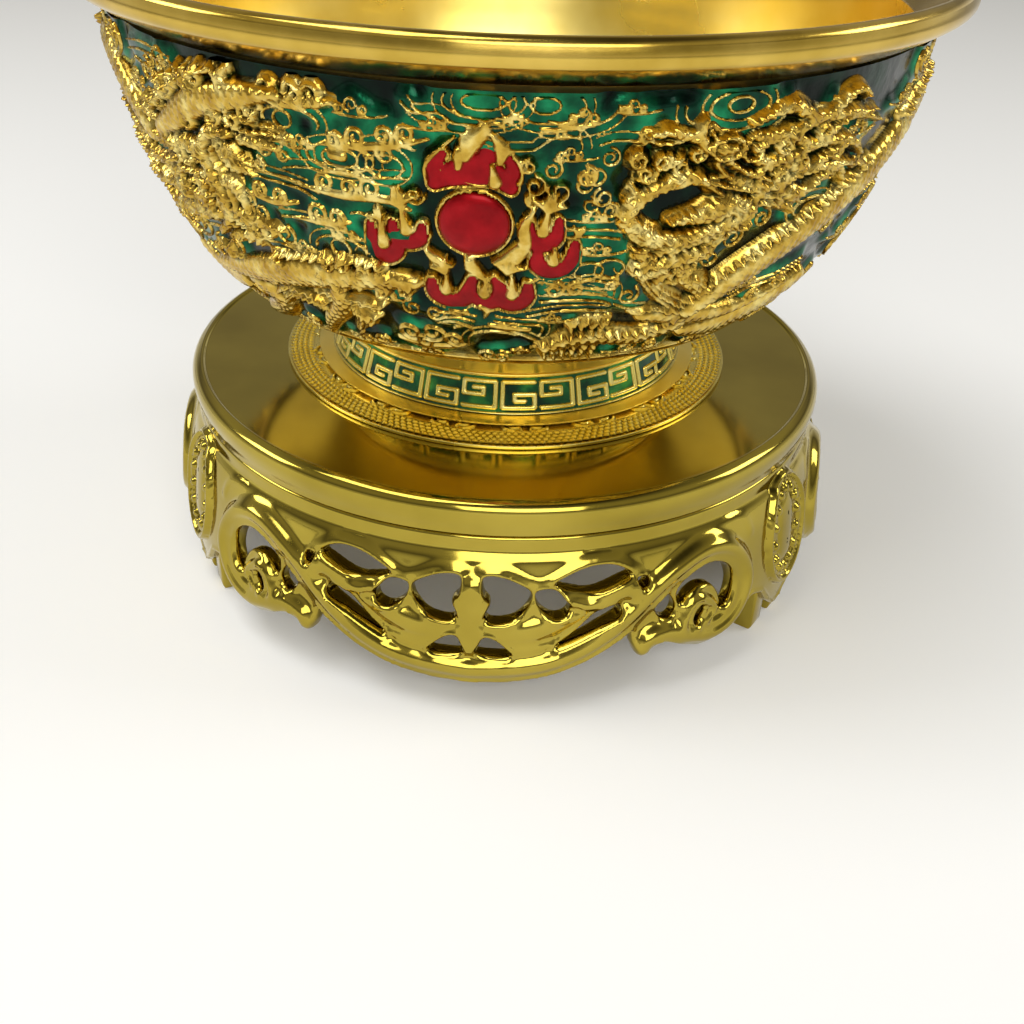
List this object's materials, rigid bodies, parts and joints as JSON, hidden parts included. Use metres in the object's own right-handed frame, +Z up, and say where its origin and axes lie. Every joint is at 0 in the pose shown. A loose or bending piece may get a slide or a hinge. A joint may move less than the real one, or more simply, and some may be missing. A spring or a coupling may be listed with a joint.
{
  "type": "ornamental bowl on stand",
  "caption": "Small round bowl with a flared lip, raised dragons over enamel and a fretted foot ring, lifting off an embossed saucer and a pierced footed display stand.",
  "frame": {"origin": "middle of the stand's footprint, on the surface that its toes stand on", "axes": "+Z up through the bowl; -Y towards the flaming pearl and the middle of one apron panel; +X to the right of it"},
  "size_m": [0.1288, 0.1288, 0.0981],
  "materials": {
    "plated_stand": "mirror gold plating over a moulded plastic",
    "screw_steel": "plain zinc plated steel",
    "gilt_saucer": "embossed and gilded, bright",
    "gilt_metal": "gilded copper, polished relief",
    "gilt_lip": "gilded copper, satin turned",
    "green_enamel": "dark green enamel over metal, glossy",
    "red_enamel": "red enamel over metal, glossy"
  },
  "bodies": {
    "stand": {"stand_skirt": "plated_stand", "stand_cover": "plated_stand", "cover_screw_1": "screw_steel", "cover_screw_2": "screw_steel", "cover_screw_3": "screw_steel"},
    "saucer": {"saucer": "gilt_saucer"},
    "bowl": {"foot_ring": "gilt_metal", "bowl_shell": "gilt_metal", "wall_enamel": "green_enamel", "lip_ring": "gilt_lip", "pearl": "red_enamel", "pearl_mount": "gilt_metal", "dragon_right": "gilt_metal", "dragon_left": "gilt_metal"}
  },
  "joints": [
    {"name": "saucer_lift", "type": "slide", "parent": "stand", "child": "saucer", "axis": [0, 0, 1], "range_m": [0, 0.06]},
    {"name": "bowl_lift", "type": "slide", "parent": "saucer", "child": "bowl", "axis": [0, 0, 1], "range_m": [0, 0.08]}
  ]
}
